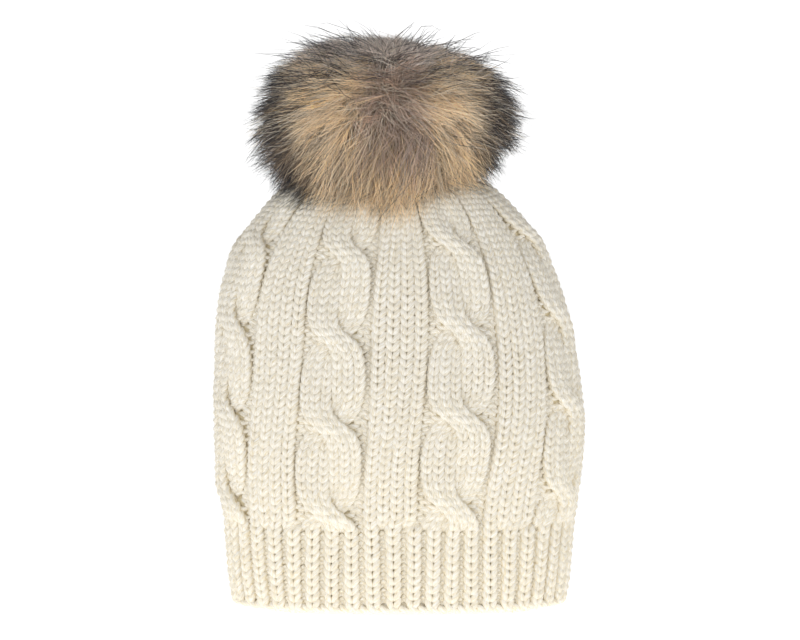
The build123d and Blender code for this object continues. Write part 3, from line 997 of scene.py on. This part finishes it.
def fur_material(name, root, middle, tip, shift):
    """Hair coloured along its length, each tuft and hair a little different."""
    made, node, finish = new_material(
        name, linear(*middle), 0.62, Sheen_Weight=0.15, Sheen_Roughness=0.4
    )
    along, tuft_tone, hair = separated(node, attribute(node, "strand", "Vector"))

    def scaled(value, factor, offset):
        return maths(node, "MULTIPLY_ADD", value, factor, offset)

    body = node("MapRange", Value=along, From_Min=0.25, From_Max=0.7)
    start = scaled(hair, 0.16, shift)
    ends = node("MapRange", Value=along, i1=start, i2=maths(node, "ADD", start, 0.12))
    colour = mix_colour(node, body, linear(*root), linear(*middle))
    colour = mix_colour(node, ends, colour, linear(*tip))
    patch = object_noise(node, Scale=38.0, Detail=2.0)
    value = maths(node, "ADD", scaled(tuft_tone, 0.14, 1.0), scaled(hair, 0.85, -0.4))
    value = maths(node, "MULTIPLY", value, scaled(patch, 0.5, 0.75))
    warmth = scaled(tuft_tone, 0.12, 1.0)
    toned = node("HueSaturation", Value=value, Saturation=warmth, Color=colour)
    finish(Base_Color=toned, Specular_IOR_Level=0.3)
    return made


def fur_pieces(look, points, radius, tone):
    """Fur in pieces of at most STRANDS_IN_PIECE hairs. Fur in pieces small enough to export.
    Hair that rests on the crown has its own.
    """
    name = look[0]
    material = fur_material(*look)
    low = points[:, -1, 2] < FUR_LOW.z
    for kind, chosen in {"": ~low, "_skirt": low}.items():
        picked = np.flatnonzero(chosen)
        for number, start in enumerate(range(0, len(picked), STRANDS_IN_PIECE), 1):
            some = picked[start : start + STRANDS_IN_PIECE]
            hairs = points[some], radius[some], tone[some]
            piece = strands(f"{name}{kind}_{number}", *hairs, material)
            if kind:
                # It stays lying on the crown when the pom pom tips on its shank.
                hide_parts("pom_fur_skirt")
                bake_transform(piece)
            else:
                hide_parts("pom_fur")
                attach(piece, "pom")


def fur_all():
    """The coat: tufts all round, each hair coloured by where its tip is."""

    def coat_reach(count):
        return np.where(rng.uniform(size=count) < 0.5, 1.0, rng.uniform(0.78, 1.02, count))

    points, tone = make_strands(
        TUFTS, IN_TUFT, coat_reach, comb_angle=math.radians(40), tip_spread=0.04, wave=2.2 * MM
    )
    keep = np.hypot(points[:, -1, 0], points[:, -1, 1]) > SHANK_BARE
    keep |= points[:, -1, 2] > FUR_LOW.z
    points, tone = points[keep], tone[keep]
    zone = fur_zone(points[:, -1])
    radius = rng.uniform(*HAIR_RADIUS, len(points)) * MM
    for colour, look in COAT.items():
        some = zone == colour
        fur_pieces(look, points[some], radius[some], tone[some])


def guard_hairs():
    """Long single hairs: pale ones, and dark wisps round the top."""

    def pale_reach(count):
        return rng.uniform(0.94, 1.05, count)

    def long_reach(count):
        return np.minimum(1.0 + rng.exponential(0.08, count), 1.26)

    points, tone = make_strands(
        900, 3, pale_reach, comb_angle=math.radians(46), tip_spread=0.1, wave=3.0 * MM
    )
    keep = points[:, -1, 2] > FUR_LOW.z
    fur_pieces(PALE_GUARD, points[keep], np.full(keep.sum(), PALE_RADIUS), tone[keep])

    points, tone = make_strands(
        460, 6, long_reach, comb_angle=math.radians(50), tip_spread=0.045, wave=4.5 * MM
    )
    tips = points[:, -1]
    side = np.abs(tips[:, 0] - FUR_MIDDLE[0])
    high_up = (tips[:, 2] > FUR_MIDDLE[2] + WISP_HEIGHT) & (side > WISP_SIDE)
    keep = (high_up | (side > WISP_FLANK)) & (tips[:, 2] > FUR_LOW.z)
    keep &= side < WISP_REACH * FUR_HALF[0]
    fur_pieces(DARK_GUARD, points[keep], np.full(keep.sum(), DARK_RADIUS), tone[keep])


def capped(rings, first_pole, last_pole):
    """Vertices and faces of joined rings, with a fan to a pole at each end."""
    count, around = rings.shape[:2]
    vertices = np.concatenate([rings.reshape(-1, 3), first_pole, last_pole])
    quads = ring_grid(count, around, closed=False)
    j = np.arange(around)
    beside = (j + 1) % around
    top = np.stack([np.full(around, count * around), beside, j], -1)
    last = (count - 1) * around
    bottom = np.stack([np.full(around, count * around + 1), last + j, last + beside], -1)
    return vertices, [quads, top, bottom]


def directions_down_to(angle, rings):
    """Directions from straight up down to an angle, with the angles down and round."""
    turn = 2 * math.pi * np.arange(BALL_AROUND) / BALL_AROUND
    theta, phi = np.meshgrid(np.linspace(0, angle, rings), turn, indexing="ij")
    way = [np.sin(theta) * np.cos(phi), np.sin(theta) * np.sin(phi), np.cos(theta)]
    return np.stack(way, -1), theta, phi


def closed_ball(name, place_of, material):
    """A closed ball from place_of(directions, angle down, angle round)."""
    grid = place_of(*directions_down_to(math.pi, BALL_RINGS))
    vertices, faces = capped(grid[1:-1], grid[0, :1], grid[-1, :1])
    return mesh_object(name, vertices, faces, material)


def lumps(directions, scale, seed):
    """Soft unevenness over directions, about -1 to 1."""
    waves_of = np.random.default_rng(seed)
    total = 0
    for _ in range(LUMP_WAVES):
        total = total + np.sin(directions @ waves_of.normal(0, scale, 3) + waves_of.uniform(0, 6.3))
    return total / 3


def pelt_ball():
    """Middle and radius of the pelt."""
    low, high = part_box("pom_pelt")
    radius = (high.x - low.x) / 2
    return np.array([0, 0, high.z - radius]), radius


def underfur():
    """The dense wool under the hair, round the pelt."""
    middle, radius = pelt_ball()
    way, _, _ = directions_down_to(UNDERFUR_ANGLE, UNDERFUR_RINGS)
    reach = UNDERFUR_REACH + UNDERFUR_LUMPS * lumps(way, 9, 3)
    outside = FUR_MIDDLE + way * FUR_HALF * reach[..., None]
    outside[..., 2] = np.maximum(outside[..., 2], FUR_LOW.z + UNDERFUR_LIFT)
    inside = middle + way * (radius + UNDERFUR_GAP)
    rings = np.concatenate([outside[1:], inside[:0:-1]])
    vertices, faces = capped(rings, outside[0, :1], inside[0, :1])
    material = textured(
        "underfur", (96, 82, 70), 0.95, noise(420.0, Detail=5.0, Roughness=0.7),
        (70, 58, 50), (126, 108, 92), bump=(0.9, 1), Sheen_Weight=0.2,
    )
    piece = mesh_object("pom_underfur", vertices, faces, material)
    stands_for(piece, "pom_fur", "pom")


def stuffed_ball():
    """The pelt's skin, pleated at its neck, and the fibre inside."""
    middle, radius = pelt_ball()

    def skin(way, theta, phi):
        pleat = np.cos(PLEATS * phi + 2 * np.sin(theta * 3))
        pleat = smoothstep((theta - PLEAT_FROM) / PLEAT_SPAN) * pleat
        size = SKIN_REACH + SKIN_UNEVEN * pleat - SKIN_UNEVEN * np.abs(lumps(way, 5, 5))
        size = radius * size
        return middle + way * size[..., None]

    grain = ("TexVoronoi", None, "Distance", {"Scale": 1600.0})
    material = textured(
        "pelt_skin", (206, 188, 160), 0.7, grain,
        (214, 196, 168), (186, 166, 138), bump=(0.4, 0.2),
    )
    pelt = closed_ball("pom_pelt_ball", skin, material)
    stands_for(pelt, "pom_pelt", "pom")

    low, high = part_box("pom_filling")
    fill_radius = (high.z - low.z) / 2

    def fibre(way, theta, phi):
        size = fill_radius * (FIBRE_REACH + FIBRE_UNEVEN * lumps(way, 6, 8))
        return middle + way * size[..., None]

    material = textured(
        "loose_fibre", (234, 232, 226), 0.95, noise(500.0, Detail=5.0),
        (216, 213, 205), (246, 245, 241), Sheen_Weight=0.3,
    )
    filling = closed_ball("pom_filling_fibre", fibre, material)
    stands_for(filling, "pom_filling", "pom")


# ---- CAD parts that keep their shape ----
def finish_cad():
    """Metal, felt and thread on the CAD nodes that are shown as they are."""
    metal = textured(
        "nickel_plate", (200, 198, 194), 0.28, noise(900.0, Detail=3.0),
        (186, 183, 178), (216, 214, 210), bump=(0.08, 0.1), Metallic=1.0,
    )
    felt = textured(
        "cream_felt_disc", (226, 218, 200), 0.95, noise(1400.0, Detail=5.0, Roughness=0.7),
        (210, 200, 180), (238, 231, 216), bump=(0.5, 0.3), Sheen_Weight=0.3,
    )
    twist = ("TexWave", {"bands_direction": "DIAGONAL"}, "Fac", {"Scale": 700.0})
    thread = textured(
        "twisted_thread", (224, 215, 196), 0.6, twist,
        (200, 188, 164), (236, 228, 210), bump=(0.5, 0.2), Sheen_Weight=0.2,
    )
    threads = ["snap_stud_stitches", "snap_socket_stitches", "pom_shank", "pom_gather_thread"]
    for material, names in (
        (felt, ["crown_backing_disc", "pom_base_disc"]),
        (metal, ["snap_stud", "snap_ring_spring", "snap_socket"]),
        (thread, threads),
    ):
        for name in names:
            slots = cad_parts[name].data.materials
            slots.clear()
            slots.append(material)


# ---- Camera, floor and light ----
PIXEL = 0.6 * MM  # of the object, at the camera's distance
PIXELS_ACROSS = 800
SENSOR = 36
CAMERA_DISTANCE = 3.0
CAMERA_ANGLE = math.radians(3.0)
LOOK_AT = Vector((0.0005, 0, 0.1705))
LAMPS_AIM = Vector((0, 0, 0.15))
FLOOR_HALF = 40


def camera():
    data = bpy.data.cameras.new("camera")
    data.sensor_width = SENSOR
    data.lens = SENSOR * CAMERA_DISTANCE / (PIXELS_ACROSS * PIXEL)
    data.clip_end = 100
    thing = put("camera", data)
    away = Vector((0, -math.cos(CAMERA_ANGLE), math.sin(CAMERA_ANGLE)))
    thing.location = LOOK_AT + CAMERA_DISTANCE * away
    thing.rotation_euler = (math.pi / 2 - CAMERA_ANGLE, 0, 0)
    bpy.context.scene.camera = thing


def floor():
    """A white studio floor that runs out of sight."""
    made, node, finish = new_material("studio_floor", (0.9, 0.9, 0.9, 1), 0.9)
    cloud = object_noise(node, Scale=3.0)
    colour = mix_colour(node, cloud, (0.86, 0.86, 0.86, 1), (0.88, 0.88, 0.88, 1))
    finish(Base_Color=colour, Emission_Color=(1, 1, 1, 1), Emission_Strength=0.8)
    mesh = bpy.data.meshes.new("floor")
    corners = [(x * FLOOR_HALF, y * FLOOR_HALF, 0) for x, y in ((-1, -1), (1, -1), (1, 1), (-1, 1))]
    mesh.from_pydata(corners, [], [(0, 1, 2, 3)])
    mesh.materials.append(made)
    thing = put("floor", mesh)
    thing.location.z = -0.5 * MM


def area_light(name, place, size, power):
    data = bpy.data.lights.new(name, "AREA")
    data.size = size
    data.energy = power
    thing = put(name, data)
    thing.location = place
    direction = LAMPS_AIM - thing.location
    thing.rotation_euler = direction.to_track_quat("-Z", "Y").to_euler()


def light():
    """A white studio, dimmer overhead, with two large soft lamps in front."""
    world = bpy.data.worlds.new("studio")
    bpy.context.scene.world = world
    world.use_nodes = True
    node = node_maker(world.node_tree)
    _, _, up = separated(node, place_in(node, "Generated"))
    strength = node("MapRange", Value=up, From_Min=0, From_Max=0.7, To_Min=1.15, To_Max=0.25)
    background = world.node_tree.nodes["Background"]
    wire(world.node_tree, background, {"Color": (1, 1, 1, 1), "Strength": strength})
    area_light("key", (-0.9, -1.6, 0.5), 0.9, 5)
    area_light("fill", (1.2, -1.5, 0.25), 1.2, 2.2)
    bpy.context.scene.view_settings.view_transform = "Standard"


camera()
floor()
light()
yarn = yarn_material()
knit_all(yarn)
cast_on_edge(yarn)
knit_backing()
fluff()
seam_inside(yarn)
draw_yarn(yarn)
label()
stuffed_ball()
underfur()
fur_all()
guard_hairs()
finish_cad()
